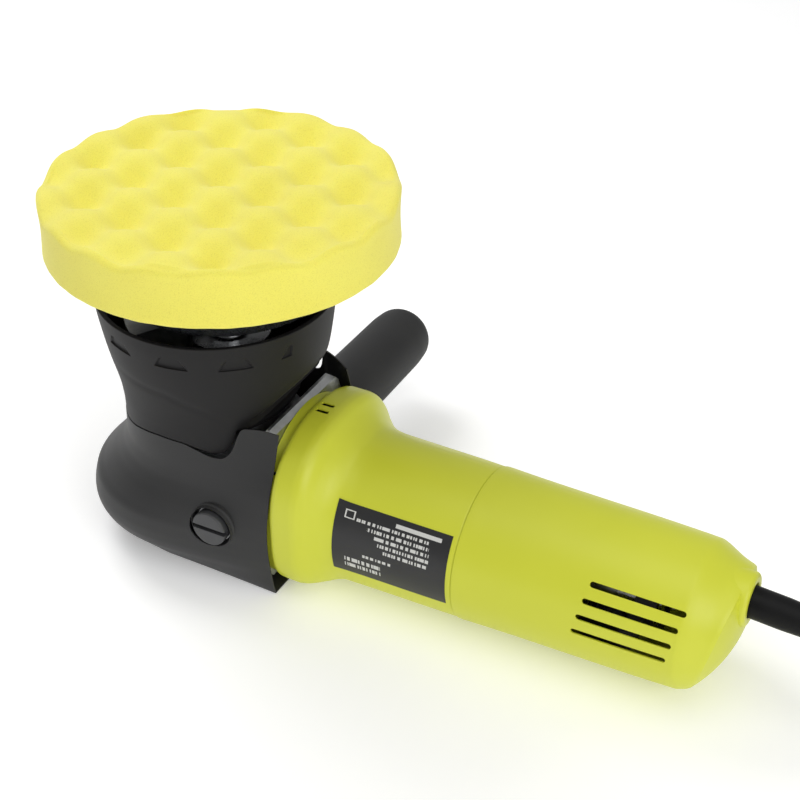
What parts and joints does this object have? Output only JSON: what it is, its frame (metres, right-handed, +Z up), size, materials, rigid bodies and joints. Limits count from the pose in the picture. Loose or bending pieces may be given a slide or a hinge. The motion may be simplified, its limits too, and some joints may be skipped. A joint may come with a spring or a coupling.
{
  "type": "dual-action polisher",
  "caption": "Corded dual-action car polisher: round waffle foam pad on an orbiting hub in a flared skirt, right-angle head, barrel motor housing and a side handle.",
  "frame": {"origin": "on the main spindle axis, in the plane that the head's flat back and the barrel lie on", "axes": "+Z up the spindle to the pad, +X along the barrel from the head to the cord, +Y to the side handle"},
  "size_m": [0.5345, 0.2266, 0.177],
  "materials": {
    "soft_black": "soft-touch matt black cover",
    "skirt_black": "matt black rubber skirt",
    "grip_black": "fine-textured matt black grip",
    "screw_black": "matt black moulded plug",
    "cast_aluminium": "as-cast aluminium",
    "housing_yellow": "satin yellow-green moulded plastic",
    "label": "printed black film",
    "steel": "machined steel",
    "steel_dark": "oiled steel laminations",
    "zinc_screw": "zinc-plated screw",
    "copper": "enamelled copper winding",
    "brass": "brass",
    "carbon": "pressed carbon",
    "inner_black": "black moulded plastic",
    "fan": "natural nylon",
    "board": "green circuit board",
    "plate": "hard black polyurethane with a slight sheen",
    "hook": "hook tape",
    "loop": "loop fabric",
    "foam": "open-cell yellow foam",
    "cord_black": "black rubber-sheathed cord",
    "pin_metal": "nickel-plated brass"
  },
  "bodies": {
    "tool": {"head_cover": "soft_black", "shroud": "skirt_black", "gear_case": "cast_aluminium", "housing_screws": "zinc_screw", "motor_housing": "housing_yellow", "rear_cover": "housing_yellow", "rear_cover_screws": "zinc_screw", "rating_label": "label", "side_handle_grip": "grip_black", "side_handle_stud": "steel", "handle_hole_plug": "screw_black", "stator_core": "steel_dark", "field_coils": "copper", "brush_ring": "inner_black", "brush_holders": "brass", "air_baffle": "inner_black", "rotor_front_bearing": "steel", "rotor_rear_bearing": "steel", "rear_bearing_bracket": "inner_black", "spindle_lower_bearing": "steel", "spindle_upper_bearing": "steel", "bearing_retainer": "steel", "retainer_screws": "zinc_screw", "speed_module": "board", "switch_body": "inner_black", "cord_guard": "cord_black", "cord_clamp": "inner_black", "clamp_screws": "zinc_screw", "cord_inner": "cord_black", "power_cord": "cord_black", "cord_coil": "cord_black", "cord_end": "cord_black", "mains_plug": "cord_black", "plug_pins": "pin_metal", "spring_upper": "steel", "spring_lower": "steel"},
    "rotor": {"armature_shaft": "steel", "armature_core": "steel_dark", "armature_windings": "copper", "commutator": "copper", "cooling_fan": "fan", "bevel_pinion": "steel_dark", "pinion_nut": "zinc_screw"},
    "orbit": {"output_shaft": "steel", "bevel_gear": "steel_dark", "eccentric_hub": "steel", "counterweight": "steel_dark", "counterweight_screws": "zinc_screw", "pad_bearings": "steel"},
    "pad": {"pad_spindle": "steel", "backing_plate": "plate", "pad_bolt": "zinc_screw", "hook_layer": "hook", "loop_backing": "loop", "foam_pad": "foam"},
    "dial": {"speed_dial": "inner_black"},
    "switch": {"switch_button": "inner_black"},
    "upper_brush": {"brush_upper": "carbon"},
    "lower_brush": {"brush_lower": "carbon"}
  },
  "joints": [
    {"name": "orbit_spin", "type": "hinge", "parent": "tool", "child": "orbit", "pos_m": [0, 0, 0.0346], "axis": [0, 0, 1], "continuous": true},
    {"name": "pad_spin", "type": "hinge", "parent": "orbit", "child": "pad", "pos_m": [0.0045, 0, 0.1], "axis": [0, 0, 1], "continuous": true},
    {"name": "rotor_spin", "type": "hinge", "parent": "tool", "child": "rotor", "pos_m": [0.1, 0, 0.0346], "axis": [1, 0, 0], "continuous": true},
    {"name": "speed_dial_turn", "type": "hinge", "parent": "tool", "child": "dial", "pos_m": [0.188, 0, 0.0119], "axis": [0, 1, 0], "range_deg": [0, 270]},
    {"name": "switch_slide", "type": "slide", "parent": "tool", "child": "switch", "axis": [1, 0, 0], "range_m": [0, 0.006]},
    {"name": "upper_brush_slide", "type": "slide", "parent": "tool", "child": "upper_brush", "axis": [0, 0, 1], "range_m": [0, 0.0035], "stiffness_N_per_m": 250, "springref_m": -0.01, "deforming": ["spring_upper"]},
    {"name": "lower_brush_slide", "type": "slide", "parent": "tool", "child": "lower_brush", "axis": [0, 0, -1], "range_m": [0, 0.0035], "stiffness_N_per_m": 250, "springref_m": -0.01, "deforming": ["spring_lower"]}
  ],
  "couplings": [
    {"joint": "rotor_spin", "follows": "orbit_spin", "ratio": -4}
  ]
}
